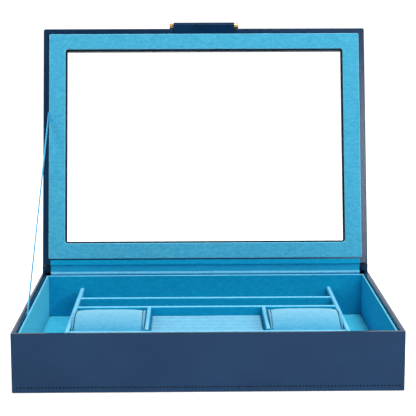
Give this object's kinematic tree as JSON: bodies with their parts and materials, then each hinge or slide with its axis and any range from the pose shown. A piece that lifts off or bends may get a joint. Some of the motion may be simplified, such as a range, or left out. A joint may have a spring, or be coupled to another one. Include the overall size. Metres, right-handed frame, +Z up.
{
  "type": "jewellery box",
  "caption": "Shallow leatherette jewellery box with a glazed hinged lid on a stay ribbon, suede-lined trays, ring rolls and lift-out watch cuffs.",
  "frame": {"origin": "The middle of the underside, on the face that rests on the table.", "axes": "+X to the right seen from the front, +Y to the back where the hinge is, +Z up."},
  "size_m": [0.33, 0.3008, 0.3011],
  "materials": {
    "board": "plain wood-fibre board",
    "leatherette": "navy grained satin",
    "felt": "matt felt",
    "suede": "blue faux suede",
    "padded_suede": "blue faux suede",
    "woven_cloth": "blue woven cloth",
    "glass": "clear",
    "brass": "polished"
  },
  "bodies": {
    "case": {"bottom_board": "board", "front_board": "board", "rear_board": "board", "left_board": "board", "right_board": "board", "spine_board": "board", "case_wrap": "leatherette", "base_felt": "felt", "floor_lining": "suede", "front_lining": "suede", "rear_lining": "suede", "left_lining": "suede", "right_lining": "suede", "left_divider": "suede", "right_divider": "suede", "rear_slot_divider": "suede", "front_slot_divider": "suede", "front_divider": "suede", "left_bay_divider": "suede", "right_bay_divider": "suede", "ring_rolls": "padded_suede", "hinge_leather": "leatherette", "hinge_lining": "woven_cloth", "stay_ribbon": "woven_cloth"},
    "lid": {"lid_front_rail": "board", "lid_rear_rail": "board", "lid_left_rail": "board", "lid_right_rail": "board", "lid_wrap": "leatherette", "window_glass": "glass", "lid_lining": "suede", "pull_tab": "leatherette", "pull_bar": "brass"},
    "left_cuff": {"left_cuff": "padded_suede"},
    "right_cuff": {"right_cuff": "padded_suede"}
  },
  "joints": [
    {"name": "lid_hinge", "type": "hinge", "parent": "case", "child": "lid", "pos_m": [0, 0.1182, 0.059], "axis": [1, 0, 0], "range_deg": [0, 103.9], "deforming": ["hinge_leather", "hinge_lining", "stay_ribbon"]},
    {"name": "left_cuff_lift", "type": "slide", "parent": "case", "child": "left_cuff", "axis": [0, 0, 1], "range_m": [0, 0.008]},
    {"name": "right_cuff_lift", "type": "slide", "parent": "case", "child": "right_cuff", "axis": [0, 0, 1], "range_m": [0, 0.008]}
  ]
}
